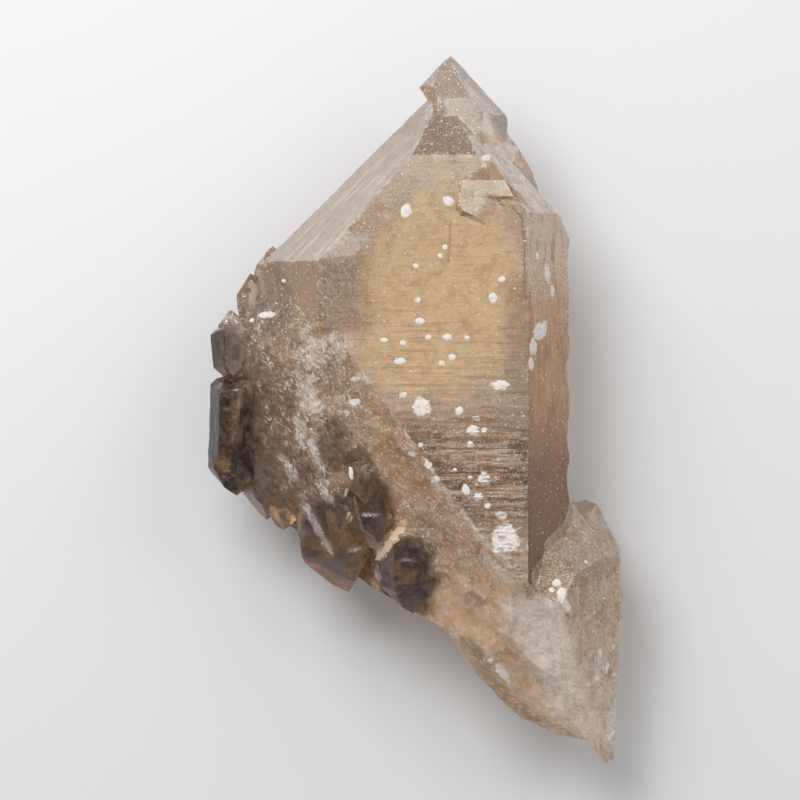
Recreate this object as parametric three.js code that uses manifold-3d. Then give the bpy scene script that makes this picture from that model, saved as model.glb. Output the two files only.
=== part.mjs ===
// Natural citrine crystal, lying on the back face of its prism with the front face up.
// One large quartz crystal carries a small crystal over its tip, a side crystal grown parallel to it at the
// foot, a smoky group round its broken base, and a growth layer and ridges on the front face.
// Millimetres, +Y along the large crystal towards its tip, +Z up from the surface that it rests on.
import * as THREE from "three";
import { ConvexGeometry } from "three/addons/geometries/ConvexGeometry.js";
import { mergeVertices } from "three/addons/utils/BufferGeometryUtils.js";
import Module from "manifold-3d";

const wasm = await Module();
wasm.setup();

// Driving dimensions of the large crystal
const THICKNESS = 42; // from the resting face to the front face
const RHOMB_SLOPE = 38.2; // degrees between a quartz prism face and the rhombohedral face above it
const AZIMUTHS = [0, 60, 120, 180, 240, 300]; // of the six prism faces, from the front face towards +X
const BREAK = [-0.5, -0.365, 0.788]; // outward direction of the slanting break
const BREAK_EDGE = [-25, 19.2]; // where the break starts on the front face
const LAYER_TOP = 43.4; // height of the growth layer above the resting face
const RIDGES = 44; // growth ridges across the lower front face
const RIDGE_TOP = -4; // y of the highest ridge
const RIDGE_FOOT = -43; // y of the lowest ridge

const vector = (point) => new THREE.Vector3(...point);

// A face whose outward normal is turned azimuth degrees about +Y from +Z towards +X, and leans slope degrees
// towards +Y, at a distance from the crystal's own origin.
function face(azimuth, slope, distance) {
  const turn = THREE.MathUtils.degToRad(azimuth);
  const lean = THREE.MathUtils.degToRad(slope);
  const normal = [Math.sin(turn) * Math.cos(lean), Math.sin(lean), Math.cos(turn) * Math.cos(lean)];
  return new THREE.Plane(vector(normal), -distance);
}

// The six prism faces and six tip faces of a quartz crystal, each at its own distance.
function quartzFaces(prism, tip) {
  return AZIMUTHS.flatMap((azimuth, i) => [
    face(azimuth, 0, prism[i]),
    face(azimuth, RHOMB_SLOPE, tip[i]),
  ]);
}

// The point where three planes meet, or null where they don't.
function corner(a, b, c) {
  const bc = b.normal.clone().cross(c.normal);
  const volume = a.normal.dot(bc);
  if (Math.abs(volume) < 1e-6) return null;
  return bc
    .multiplyScalar(-a.constant)
    .addScaledVector(c.normal.clone().cross(a.normal), -b.constant)
    .addScaledVector(a.normal.clone().cross(b.normal), -c.constant)
    .divideScalar(volume);
}

// The convex solid inside all the faces, as a geometry.
function insideFaces(faces) {
  const corners = new Map();
  faces.forEach((a, i) =>
    faces.slice(i + 1).forEach((b, j) =>
      faces.slice(i + j + 2).forEach((c) => {
        const point = corner(a, b, c);
        if (!point || faces.some((f) => f.distanceToPoint(point) > 1e-6)) return;
        corners.set(point.toArray().map((v) => v.toFixed(4)).join(), point);
      }),
    ),
  );
  return new ConvexGeometry([...corners.values()]);
}

// A closed geometry as a solid that can be joined and cut.
function solid(geometry) {
  const bare = geometry.clone();
  bare.deleteAttribute("normal");
  bare.deleteAttribute("uv");
  const merged = mergeVertices(bare, 1e-4);
  return new wasm.Manifold(
    new wasm.Mesh({
      numProp: 3,
      vertProperties: merged.attributes.position.array,
      triVerts: new Uint32Array(merged.index.array),
    }),
  );
}

// A solid's surface as a geometry.
function surface(made) {
  const mesh = made.getMesh();
  return new THREE.BufferGeometry()
    .setAttribute("position", new THREE.BufferAttribute(mesh.vertProperties, 3))
    .setIndex(new THREE.BufferAttribute(mesh.triVerts, 1));
}

// A solid inside faces that are measured from the point at, leaning by turning about +Z.
function crystalAt(at, faces, lean = 0) {
  const place = new THREE.Matrix4()
    .makeRotationZ(THREE.MathUtils.degToRad(lean))
    .setPosition(...at);
  return solid(insideFaces(faces).applyMatrix4(place));
}

// A face with an outward direction, passing through a point.
function slant(direction, point) {
  return new THREE.Plane().setFromNormalAndCoplanarPoint(vector(direction).normalize(), vector(point));
}

// A lump that just covers its points.
function lump(points) {
  return solid(new ConvexGeometry(points.map(vector)));
}

// The large crystal, cut off below by the slanting break and by the broken left side of the base
function largeCrystal() {
  const prism = [21, 32.3, 29.1, 21, 34.4, 32.1];
  const tip = [52.5, 53, 46.8, 42.5, 49, 45.8];
  const vicinal = slant([-0.6, 0.687, -0.406], [0.5, 71.3, 5.2]);
  const breaks = [
    slant(BREAK, [-25, 19.2, 20]),
    slant([-0.1, -0.62, 0.78], [25.4, -48, 21]),
    slant([-0.5, -0.85, 0.12], [-28.6, -34.8, 3]),
    slant([-0.45, -0.78, -0.42], [-28.6, -34.8, -3]),
    slant([-0.8, -0.6, 0], [-38.4, -22, 0]),
    face(0, -90, 58),
  ];
  return crystalAt([0, 0, THICKNESS / 2], [...quartzFaces(prism, tip), vicinal, ...breaks]);
}

// The small crystal over the tip, undercut on its left
function tipCrystal() {
  const prism = [11.5, 11.4, 10.4, 13, 5.5, 9.5];
  const tip = [10.2, 8.05, 6.5, 5.6, 7.3, 10.65];
  return crystalAt([8, 70, 23], [...quartzFaces(prism, tip), face(-90, -32.5, 4.7), face(0, -90, 20)]);
}

// The side crystal at the foot, leaning against the large one and tapering to a broken end
function sideCrystal() {
  const ridge = [33.1, -48, 39];
  const brow = [37.1, -41.3, 34.8];
  return crystalAt(
    [0, 0, 0],
    [
      slant([0.785, -0.09, 0.61], ridge),
      slant([-0.2, -0.44, 0.88], ridge),
      slant([0.16, 0.36, 0.92], [37.1, -41.3, 35.4]),
      slant([0.435, 0.608, 0.665], brow),
      slant([0.6, 0.66, 0.45], [43.4, -37.6, 27.3]),
      slant([-0.2, 0.93, 0.3], [35.5, -32.2, 27]),
      slant([0.85, 0, -0.5], [48.5, -48, 20]),
      slant([-0.785, -0.62, 0], [40.3, -82.8, 20]),
      slant([0.2, -0.97, -0.1], [44, -87.2, 16]),
      slant([-0.2, -0.5, -0.84], [36, -80, 10]),
      face(180, 0, -5),
      face(270, 0, -22),
    ],
  );
}

// The blunt crystal behind the top of the side crystal
function sideShoulder() {
  const peak = [39.1, -24.6, 18.7];
  const outer = [46.6, -35.8, 20];
  return crystalAt(
    [0, 0, 0],
    [
      slant([0.5, 0.42, 0.757], outer),
      slant([0.82, 0.55, -0.15], [44.2, -36.2, 20]),
      slant([0.8, -0.35, 0.48], outer),
      slant([0.8, 0, -0.6], [47.5, -38, 19]),
      slant([-0.1, 0.99, 0.1], peak),
      slant([0.5, 0.4, -0.77], [42, -32, 11]),
      face(0, -90, 48),
      face(180, 0, -5),
      face(270, 0, -24),
    ],
  );
}

// The broken mass under the foot, from its crest along the break to its outer edge
function footMass() {
  return lump([
    [1.9, -16.8, 38],
    [24.7, -46.8, 39.5],
    [32.2, -48, 38.5],
    [24, -57, 37],
    [12, -56, 31],
    [40.3, -82.2, 22],
    [32, -80.2, 19],
    [23.3, -76.3, 20],
    [13.9, -67.4, 24.5],
    [10.3, -59.5, 27],
    [4.3, -50, 27],
    [-5.3, -38.4, 24],
    [6, -46, 8],
    [14, -58, 8],
    [24, -70, 8],
    [36, -77, 8],
    [33, -48, 6],
    [2, -20, 4],
  ]);
}

// The shoulder that carries the smoky crystals, sloping from the break to the left
function shoulder() {
  return lump([
    [-38.4, 33, 19],
    [-25, 19.2, 40.5],
    [-42.5, 16.8, 22],
    [-46, 4.8, 22],
    [-41.3, -9.6, 24.5],
    [-29.3, -14.4, 31],
    [-17.3, -7.2, 39],
    [-10, -16.8, 38.5],
    [-20, -31.2, 29],
    [-31.7, -24, 25],
    [-36, 28, 5],
    [-43, 0, 5],
    [-39, -16, 6],
    [-28, -28, 5],
    [-15, -36, 5],
    [0, -42, 4],
  ]);
}

// A small crystal whose tip is at a point, with its long axis pointing along a direction. The front and back
// faces of a flat one are nearer to its axis, by a share of its radius.
function smallCrystal({ tip, points, radius, length, roll, flat = 1 }) {
  const prism = AZIMUTHS.map((_, i) => radius * (i % 3 ? 1 : flat) * (1 + 0.1 * Math.sin(2.3 * i + roll)));
  const ends = AZIMUTHS.map((_, i) => (i % 2) * 0.16 * radius);
  const upright = new THREE.Vector3(0, 1, 0);
  const along = new THREE.Quaternion().setFromUnitVectors(upright, vector(points).normalize());
  const turned = new THREE.Quaternion().setFromAxisAngle(upright, THREE.MathUtils.degToRad(roll));
  const place = new THREE.Matrix4().compose(
    vector(tip),
    along.multiply(turned),
    new THREE.Vector3(1, 1, 1),
  );
  const root = [30, 150, 270].map((azimuth) => face(azimuth, -62, 0.88 * length));
  return solid(insideFaces([...quartzFaces(prism, ends), ...root]).applyMatrix4(place));
}

// The smoky crystals round the base, and the stepped ones up the left side
const SMOKY_CRYSTALS = [
  { tip: [-17.6, -46.5, 18], points: [0.16, -0.98, -0.16], radius: 8.5, length: 42, roll: 8 },
  { tip: [-2.2, -51.4, 24], points: [0.06, -0.98, -0.15], radius: 7.4, length: 24, roll: 6 },
  { tip: [-9.8, -36.5, 30], points: [0.25, -0.9, 0.1], radius: 5, length: 16, roll: 12 },
  { tip: [-13.5, -25, 33.5], points: [0.15, -0.9, 0.1], radius: 3.4, length: 11, roll: 25 },
  { tip: [-33.5, -31.5, 17], points: [-0.1, -0.97, -0.2], radius: 5, length: 20, roll: 12 },
  { tip: [-44.6, -23.2, 20.5], points: [-0.03, -0.99, -0.06], radius: 7.8, length: 30, roll: 0, flat: 0.62 },
  { tip: [-37.5, -29, 17], points: [-0.05, -0.98, -0.16], radius: 5.4, length: 24, roll: 35 },
  { tip: [-45.3, 3.8, 20], points: [0.1, -0.99, -0.1], radius: 3.8, length: 15, roll: 20 },
  { tip: [-36, 37.2, 17], points: [-0.1, 1, 0], radius: 4.6, length: 32, roll: 0 },
  { tip: [-41.4, 30.6, 18], points: [-0.12, 1, 0], radius: 3.6, length: 28, roll: 30 },
  { tip: [-46.2, 21.8, 19], points: [-0.1, 1, 0], radius: 2.9, length: 20, roll: 10 },
];

// The rounded shoulder to the right of the tip
function tipShoulder() {
  return lump([
    [17, 66, 25],
    [20.6, 64.4, 20],
    [23.2, 60.8, 21],
    [26.6, 55, 21],
    [28.4, 49.5, 22],
    [15, 58, 36.5],
    [20, 52, 37.5],
    [23, 46, 36],
    [12, 62, 8],
    [20.5, 61, 12],
    [25, 51, 10],
    [18, 45, 8],
  ]);
}

// A growth layer at the top right of the front face, with its own small tip, above given lower walls.
function growthLayer(...walls) {
  const left = [9.3, 52.1, LAYER_TOP];
  const right = [19.6, 52.1, LAYER_TOP];
  return crystalAt(
    [0, 0, 0],
    [
      face(0, 0, LAYER_TOP),
      slant([0, 0.294, 0.956], left),
      slant([-0.506, 0.827, 0.245], left),
      slant([-0.86, 0.07, 0.5], left),
      slant([0.742, 0.588, 0.321], right),
      slant([0.75, 0.41, 0.5], right),
      face(180, 0, -40),
      ...walls,
    ],
  );
}

// The layer's left part reaches further down than its right part
const LEFT_WALLS = [
  slant([-0.58, -0.42, 0.7], [8.7, 46.2, LAYER_TOP]),
  slant([-0.28, -0.72, 0.63], [11.1, 44.2, LAYER_TOP]),
  slant([0.29, -0.12, 0.95], [12.6, 44.6, LAYER_TOP]),
];
const RIGHT_WALLS = [slant([0, -0.88, 0.47], [17, 48.3, LAYER_TOP])];

// A repeatable scatter between nought and one.
function scatter(i, salt) {
  const wave = Math.sin(12.9898 * (i + 1) + 78.233 * salt) * 43758.5453;
  return wave - Math.floor(wave);
}

// A low ridge across the front face, from one side to the other.
function ridge(left, right, y, width, height) {
  const under = THICKNESS - 0.4;
  return lump([
    [left, y - width, under],
    [left, y + 0.3 * width, under],
    [right, y - width, under],
    [right, y + 0.3 * width, under],
    [left + 1.5, y, THICKNESS + height],
    [right - 1.5, y, THICKNESS + height],
  ]);
}

// The growth ridges across the lower front face, ending where the break cuts it
function growthRidges() {
  return Array.from({ length: RIDGES }, (_, i) => {
    const y = RIDGE_TOP - (i * (RIDGE_TOP - RIDGE_FOOT)) / (RIDGES - 1);
    const edge = BREAK_EDGE[0] + (BREAK_EDGE[1] - y) * 0.745 + 1.5;
    const middle = edge + (24 - edge) * (0.25 + 0.5 * scatter(i, 1));
    const reach = (24 - edge) * (0.2 + 0.3 * scatter(i, 2));
    const left = Math.max(edge, middle - reach);
    const right = Math.min(24.6, middle + reach);
    return ridge(left, right, y, 0.7 + 0.9 * scatter(i, 3), 0.15 + 0.4 * scatter(i, 4));
  });
}

// A shallow shell-shaped hollow, as a break leaves in quartz, drawn out along a direction.
function scoop({ at, out, along, radius, depth }) {
  const ball = new THREE.IcosahedronGeometry(radius, 6).scale(1, 2.2, 1);
  const outward = vector(out).normalize();
  const length = vector(along).projectOnPlane(outward).normalize();
  const place = new THREE.Matrix4()
    .makeBasis(length.clone().cross(outward), length, outward)
    .setPosition(vector(at).addScaledVector(outward, radius - depth));
  return solid(ball.applyMatrix4(place));
}

// The hollows of the break, the foot and the shoulder, and the chips along the right side
const DOWN_BREAK = [0.6, -0.8, 0];
const FOOT = [-0.28, -0.62, 0.74];
const DOWN_FOOT = [0.85, -0.5, 0];
const SHOULDER = [-0.42, -0.2, 0.87];
const DOWN_SHOULDER = [0.35, -0.93, 0];
const chip = (at) => ({ at, out: [1, 0, 0.1], along: [0, 1, 0.15], radius: 4, depth: 0.6 });
const SCOOPS = [
  { at: [-14, 0, 39.1], out: BREAK, along: DOWN_BREAK, radius: 14, depth: 0.7 },
  { at: [-7, -16, 36.1], out: BREAK, along: DOWN_BREAK, radius: 16, depth: 1.1 },
  { at: [0, -21, 38.2], out: BREAK, along: DOWN_BREAK, radius: 18, depth: 0.6 },
  { at: [4, -35, 34.3], out: BREAK, along: DOWN_BREAK, radius: 14, depth: 1.1 },
  { at: [12, -40, 37.1], out: BREAK, along: DOWN_BREAK, radius: 18, depth: 0.6 },
  { at: [9, -49, 31], out: BREAK, along: DOWN_BREAK, radius: 14, depth: 1 },
  { at: [18.7, -60, 32.5], out: FOOT, along: DOWN_FOOT, radius: 14, depth: 1 },
  { at: [28, -67, 29.4], out: FOOT, along: DOWN_FOOT, radius: 16, depth: 0.8 },
  { at: [20, -70, 24.8], out: FOOT, along: DOWN_FOOT, radius: 12, depth: 1 },
  { at: [-33, 9, 33], out: [-0.67, 0.04, 0.74], along: DOWN_SHOULDER, radius: 22, depth: 0.7 },
  { at: [-30, -5, 33.4], out: SHOULDER, along: DOWN_SHOULDER, radius: 20, depth: 0.9 },
  { at: [-23, -15, 33.7], out: SHOULDER, along: DOWN_SHOULDER, radius: 12, depth: 1 },
  { at: [30.7, -56, 35.2], out: [-0.2, -0.44, 0.88], along: [0.2, -0.9, 0], radius: 14, depth: 0.6 },
  ...[33, 19, 6, -9, -19].map((y) => chip([35.45, y, 24.2])),
  ...[-41.5, -58, -69].map((y) => chip([47.8, y, 19])),
];

// The broken body first, so that the hollows leave the small crystals and the growth features whole
const join = (pieces) => pieces.reduce((all, piece) => all.add(piece));
const body = join([largeCrystal(), sideCrystal(), sideShoulder(), footMass(), shoulder()]);
const broken = SCOOPS.map(scoop).reduce((left, hollow) => left.subtract(hollow), body);
const grown = SMOKY_CRYSTALS.map(smallCrystal);
const layer = [growthLayer(...LEFT_WALLS), growthLayer(...RIGHT_WALLS)];
const whole = join([broken, tipCrystal(), tipShoulder(), ...grown, ...layer, ...growthRidges()]);

// The origin is under the middle of the crystal, on the surface that it rests on
const geometry = surface(whole);
geometry.computeBoundingBox();
const middle = geometry.boundingBox.getCenter(new THREE.Vector3());
geometry.translate(-middle.x, -middle.y, -geometry.boundingBox.min.z);

const citrine = new THREE.Mesh(
  geometry,
  new THREE.MeshStandardMaterial({
    color: 0xb79c76,
    roughness: 0.3,
    metalness: 0,
    transparent: true,
    opacity: 0.6,
  }),
);
citrine.name = "citrine_crystal";

const part = new THREE.Group();
part.add(citrine);
export default part;
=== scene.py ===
import math

import bmesh
import bpy
import numpy as np
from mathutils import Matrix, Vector, geometry, kdtree, noise

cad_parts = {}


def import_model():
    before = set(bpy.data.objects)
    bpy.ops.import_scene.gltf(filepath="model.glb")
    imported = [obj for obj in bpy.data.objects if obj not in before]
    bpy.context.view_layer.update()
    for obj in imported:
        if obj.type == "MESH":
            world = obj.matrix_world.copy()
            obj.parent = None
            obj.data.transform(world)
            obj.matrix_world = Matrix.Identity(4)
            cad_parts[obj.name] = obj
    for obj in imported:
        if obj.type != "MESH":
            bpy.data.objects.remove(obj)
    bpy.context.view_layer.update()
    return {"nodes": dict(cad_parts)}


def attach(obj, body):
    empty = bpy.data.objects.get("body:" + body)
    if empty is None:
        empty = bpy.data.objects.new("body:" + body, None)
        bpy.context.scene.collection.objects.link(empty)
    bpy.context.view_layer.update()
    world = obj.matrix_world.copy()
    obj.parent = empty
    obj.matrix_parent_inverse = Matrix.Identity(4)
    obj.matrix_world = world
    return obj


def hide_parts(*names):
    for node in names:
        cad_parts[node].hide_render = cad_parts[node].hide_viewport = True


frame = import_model()

# Lengths are in millimetres unless a name says metres. Places on the crystal are photo pixels.
METRES = 0.001
PIXEL = 0.24
ORIGIN_PIXEL = (415.27, 410.64)
CENTRE_PIXEL = (400.0, 400.0)
CAMERA_HEIGHT = 1500.0
SHARP_HEIGHT = 25.0
IMAGE_PIXELS = 800
IMAGE_WIDTH = IMAGE_PIXELS * PIXEL

# Heights over the floor
FRONT_HEIGHT = 42.0
FRONT_DEPTH = 2.0
LAYER_FLOOR = FRONT_HEIGHT - 0.1
ON_LAYER = FRONT_HEIGHT + 1
BREAK_HEIGHT = 30.0
LOWEST_RELIEF = 2.0

# Splitting of the flat faces into triangles
FINE_EDGE = 0.52
COARSE_EDGE = 1.8
TRIANGLE_HEIGHT = 0.866
EDGE_CLEARANCE = 0.55
FAR = 1e9
TINY = 1e-12
SAME_PLACE = 1e-7
SAME_VERTEX_METRES = 1e-6
FLAT_DEGREES = 0.3
CREASE_DEGREES = 14
RAGGED_CREASE_DEGREES = 30

# How far up a face looks, and how nearly two directions agree
UP_LIMIT = 0.02
RAMP_LIMIT = 0.93
SAME_WAY = 0.985

# Scatter: sizes of its lumps, stripes and the tilted chips of painted glint and shade, and how rough it is
COARSE_LUMP = 5.0
MIDDLE_LUMP = 2.2
FINE_LUMP = 1.1
TERRACE_LUMP = 9.0
STRIPE = 1.6
STRIPE_STRETCH = (14, 1, 1)
GLINT_FACET = 2.3
WAVE_ROUGHNESS = 0.8
WAVE_STEP = 2.0
WAVE_LIMIT = 1.2
CHIP_SPREAD = 9.7

# Face directions of the large crystal
FRONT = (0, 0, 1)
FRONT_TIP = (0, 0.618, 0.786)
LEFT_TIP = (-0.681, 0.618, 0.393)
RIGHT_TIP = (0.681, 0.618, 0.393)
LEFT_SIDE = (-0.866, 0, 0.5)
RIGHT_SIDE = (0.866, 0, 0.5)
LAYER_TIP = (0, 0.294, 0.956)

# Colours, as linear red, green and blue
STONE = (0.94, 0.66, 0.46)
GOLD = (0.96, 0.69, 0.41)
GREY_GOLD = (0.76, 0.63, 0.51)
PALE = (0.80, 0.74, 0.68)
SPECKLED = (0.50, 0.41, 0.35)
OLIVE = (0.84, 0.58, 0.36)
BROWN_GOLD = (0.75, 0.53, 0.34)
PURPLE_BROWN = (0.27, 0.13, 0.085)
LILAC = (0.60, 0.47, 0.42)
SMOKE = (0.19, 0.13, 0.104)
CRUST = (0.58, 0.46, 0.32)
CLOUD = (0.86, 0.82, 0.78)
FLAKE = (0.74, 0.69, 0.65)
STEP = (0.66, 0.44, 0.27)
# Darkest smoke, and also the painted shade on the smoky crystals' chips
DEEP_SMOKE_AND_SHADE = (0.004, 0.0025, 0.0018)
WARM_BROWN = (0.25, 0.07, 0.005)
DUSK = (0.55, 0.41, 0.33)
UNDER = (0.92, 0.86, 0.78)
SHADE = (0.42, 0.36, 0.31)
# Brown of the growth layer's tip facet, darkened as painted shade
SHADED_TIP_BROWN = (0.70, 0.46, 0.28)
GREY_PALE = (0.88, 0.82, 0.78)
GREY_BROWN = (0.62, 0.48, 0.37)
MARGIN = (0.68, 0.54, 0.44)
STRIP = (0.50, 0.36, 0.26)
BEIGE = (0.84, 0.60, 0.42)
FOOT_STONE = (0.95, 0.62, 0.38)
WARM_PALE = (0.90, 0.76, 0.64)
RIGHT_GOLD = (0.92, 0.57, 0.30)
FROST = (0.92, 0.83, 0.76)
LAYER = (0.95, 0.84, 0.68)
GREY_FLAKE = (0.46, 0.41, 0.37)
# Painted glint on the chips inside the smoky crystals
GLINT = (0.27, 0.20, 0.165)
EDGE_OLIVE = (0.50, 0.41, 0.30)
PAPER = (0.74, 0.74, 0.75)
ABSORPTION_COLOUR = (0.93, 0.79, 0.54)

# Clearness, roughness and grain before painting
FIRST_CLEAR = 0.80
FIRST_GLOSS = 0.22
FIRST_GRAIN = 0.5

# Shares of the painted marks
TOP_MARGIN = 0.4
RIGHT_STRIP = 0.7
LEAST_BANDS = 0.3
MORE_BANDS = 0.3
STRIPED_BANDS = 0.4
FROST_FADE = 0.35
SMOKE_UNDER = 0.8
CRACK_SHARPNESS = 3.2
FAINTER_IN_SMOKE = 0.4

# Milky haze
LEAST_CLOUD_HAZE = 0.28
MORE_CLOUD_HAZE = 0.6
VEIL_HAZE = 0.85
LEAST_HAZE = 0.12
MORE_HAZE = 0.4
SIDE_HAZE = 0.3
SEAM_HAZE = 0.6
FRONT_HAZE = 0.3
CLEARER_IN_SMOKE = 0.6

# The material: quartz, its marks, and the numbers of a mixing node's sockets
QUARTZ_IOR = 1.544
ABSORPTION_DENSITY = 22.0
EDGE_STRENGTH = 0.4
DULLER = 0.3
GRAIN_BUMP = 0.6
FLAKE_BUMP = 0.2
BUMP_HEIGHT = 0.3
MIX_SHARE = 0
MIX_COLOURS = (6, 7)
MIX_RESULT = 2

# The floor and the light round it
FLOOR_METRES = 8
FLOOR_GAP_METRES = 0.0003
PAPER_ROUGHNESS = 0.9
WORLD_STRENGTH = 0.41


def read_mesh(mesh):
    """Vertex places in millimetres, corner vertices and face normals."""
    places = np.zeros(len(mesh.vertices) * 3)
    mesh.vertices.foreach_get("co", places)
    corners = np.zeros(len(mesh.loops), int)
    mesh.loops.foreach_get("vertex_index", corners)
    normals = np.zeros(len(mesh.polygons) * 3)
    mesh.polygons.foreach_get("normal", normals)
    return places.reshape(-1, 3) / METRES, corners, normals.reshape(-1, 3)


def split_face(ends, normal, spacing):
    """Even triangles over a flat face: extra points inside it, and the triangles.

    The triangles number the face's own ends first, and then the extra points.
    """
    out = np.array(normal)
    runs = np.roll(ends, -1, axis=0) - ends
    across = runs[np.argmax((runs**2).sum(1))]
    across = across - out * (across @ out)
    across = across / np.linalg.norm(across)
    flat = np.stack([(ends - ends[0]) @ across, (ends - ends[0]) @ np.cross(out, across)], 1)
    low, high = flat.min(0), flat.max(0)
    rows = np.arange(low[1], high[1], spacing * TRIANGLE_HEIGHT)
    columns = np.arange(low[0] - spacing, high[0] + spacing, spacing)
    shift = np.arange(len(rows)) % 2 * spacing / 2
    shifted = columns[None, :] + shift[:, None]
    grid = np.stack([shifted, np.repeat(rows[:, None], len(columns), 1)], 2).reshape(-1, 2)
    inside = np.zeros(len(grid), bool)
    nearest = np.full(len(grid), FAR)
    for start, end in zip(flat, np.roll(flat, -1, axis=0)):
        run = end - start
        offset = grid - start
        share = np.clip(offset @ run / max(run @ run, TINY), 0, 1)
        nearest = np.minimum(nearest, ((offset - share[:, None] * run) ** 2).sum(1))
        if start[1] == end[1]:
            continue
        spans = (start[1] > grid[:, 1]) != (end[1] > grid[:, 1])
        inside ^= spans & (grid[:, 0] < start[0] + offset[:, 1] * run[0] / run[1])
    grid = grid[inside & (nearest > (EDGE_CLEARANCE * spacing) ** 2)]
    together = [Vector(p) for p in np.concatenate([flat, grid])]
    outline = [list(range(len(ends)))]
    found = geometry.delaunay_2d_cdt(together, [], outline, 1, SAME_PLACE, True)
    _, _, made, point_sources, _, face_sources = found
    first = [ids[0] for ids in point_sources]
    extra = ends[0] + grid[:, :1] * across + grid[:, 1:] * np.cross(out, across)
    kept = [triangle for triangle, within in zip(made, face_sources) if within]
    return extra, [[first[i] for i in triangle] for triangle in kept]


def refined(source):
    """A copy of a CAD node's mesh, its flat faces split into even triangles, finest where they look up."""
    work = bmesh.new()
    work.from_mesh(source.data)
    bmesh.ops.remove_doubles(work, verts=work.verts, dist=SAME_VERTEX_METRES)
    flat = math.radians(FLAT_DEGREES)
    bmesh.ops.dissolve_limit(work, angle_limit=flat, verts=work.verts, edges=work.edges)
    work.normal_update()
    work.verts.index_update()
    work.edges.index_update()
    points = [np.array(vertex.co) / METRES for vertex in work.verts]
    triangles = []
    on_edge = {}

    def spacing(face):
        """How long the sides of a face's triangles are."""
        return FINE_EDGE if face.normal.z > UP_LIMIT else COARSE_EDGE

    def along(loop):
        """The numbers of an edge's points from this corner up to the next one."""
        edge = loop.edge
        if edge.index not in on_edge:
            ends = [points[vertex.index] for vertex in edge.verts]
            step = min(spacing(face) for face in edge.link_faces)
            count = math.ceil(np.linalg.norm(ends[1] - ends[0]) / step)
            on_edge[edge.index] = list(range(len(points), len(points) + count - 1))
            points.extend(ends[0] + (ends[1] - ends[0]) * i / count for i in range(1, count))
        between = on_edge[edge.index]
        return [loop.vert.index] + (between if loop.vert == edge.verts[0] else between[::-1])

    for face in work.faces:
        ring = [number for loop in face.loops for number in along(loop)]
        extra, made = split_face(np.array([points[i] for i in ring]), face.normal, spacing(face))
        names = ring + list(range(len(points), len(points) + len(extra)))
        points.extend(extra)
        triangles += [[names[i] for i in triangle] for triangle in made]
    work.free()
    mesh = bpy.data.meshes.new("citrine")
    mesh.from_pydata([p * METRES for p in points], [], triangles)
    work = bmesh.new()
    work.from_mesh(mesh)
    for edge in work.edges:
        edge.smooth = edge.calc_face_angle(0) < math.radians(CREASE_DEGREES)
    for face in work.faces:
        face.smooth = True
    work.to_mesh(mesh)
    work.free()
    return mesh


def photo_pixels(places):
    """Where the camera sees each place, in photo pixels."""
    nearer = (CAMERA_HEIGHT - SHARP_HEIGHT) / (CAMERA_HEIGHT - places[:, 2])
    across = ORIGIN_PIXEL[0] - CENTRE_PIXEL[0] + places[:, 0] / PIXEL
    down = ORIGIN_PIXEL[1] - CENTRE_PIXEL[1] - places[:, 1] / PIXEL
    return np.stack([CENTRE_PIXEL[0] + across * nearer, CENTRE_PIXEL[1] + down * nearer], 1)


def wave(places, size, salt=0.0, stretch=(1, 1, 1), octaves=3):
    """Smooth scatter of about -1 to 1 with lumps of a given size."""
    scaled = places / (size * np.array(stretch)) + salt
    values = [noise.fractal(Vector(p), WAVE_ROUGHNESS, WAVE_STEP, octaves) for p in scaled]
    return np.clip(np.array(values), -WAVE_LIMIT, WAVE_LIMIT)


def facets(places, size, salt=0.0):
    """Flat chips of a given size, each tilted its own way: heights of about -0.5 to 0.5."""
    values = []
    for place in places / size + salt:
        point = Vector(place)
        middle = noise.voronoi(point)[1][0]
        tilt = noise.cell_vector(middle * CHIP_SPREAD) - Vector((0.5, 0.5, 0.5))
        values.append((point - middle).dot(tilt))
    return np.array(values)


def streaks(places, turn, length, width, salt=0.0):
    """Scatter drawn out along a line that is turned from the X axis, in degrees."""
    angle = math.radians(turn)
    along = places[:, 0] * math.cos(angle) + places[:, 1] * math.sin(angle)
    over = places[:, 1] * math.cos(angle) - places[:, 0] * math.sin(angle)
    return wave(np.stack([along / length, over / width, places[:, 2] / length], 1), 1.0, salt)


def smooth(value, low, high):
    """Nought below low, one above high, and a smooth rise between."""
    part = np.clip((value - low) / (high - low), 0, 1)
    return part * part * (3 - 2 * part)


def spot(pixels, at, width, height, turn=0.0):
    """Distance from a spot's middle, as a share of its half width and half height."""
    angle = math.radians(turn)
    across = (pixels[:, 0] - at[0]) * PIXEL
    up = (at[1] - pixels[:, 1]) * PIXEL
    along = across * math.cos(angle) + up * math.sin(angle)
    over = up * math.cos(angle) - across * math.sin(angle)
    return np.hypot(along / (width / 2), over / (height / 2))


def from_line(pixels, line):
    """Distance in millimetres from a line through photo pixels."""
    nearest = np.full(len(pixels), FAR)
    for start, end in zip(line, line[1:]):
        a = np.array(start, float)
        run = np.array(end, float) - a
        share = np.clip((pixels - a) @ run / (run @ run), 0, 1)
        nearest = np.minimum(nearest, np.hypot(*(pixels - a - share[:, None] * run).T))
    return nearest * PIXEL


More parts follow.
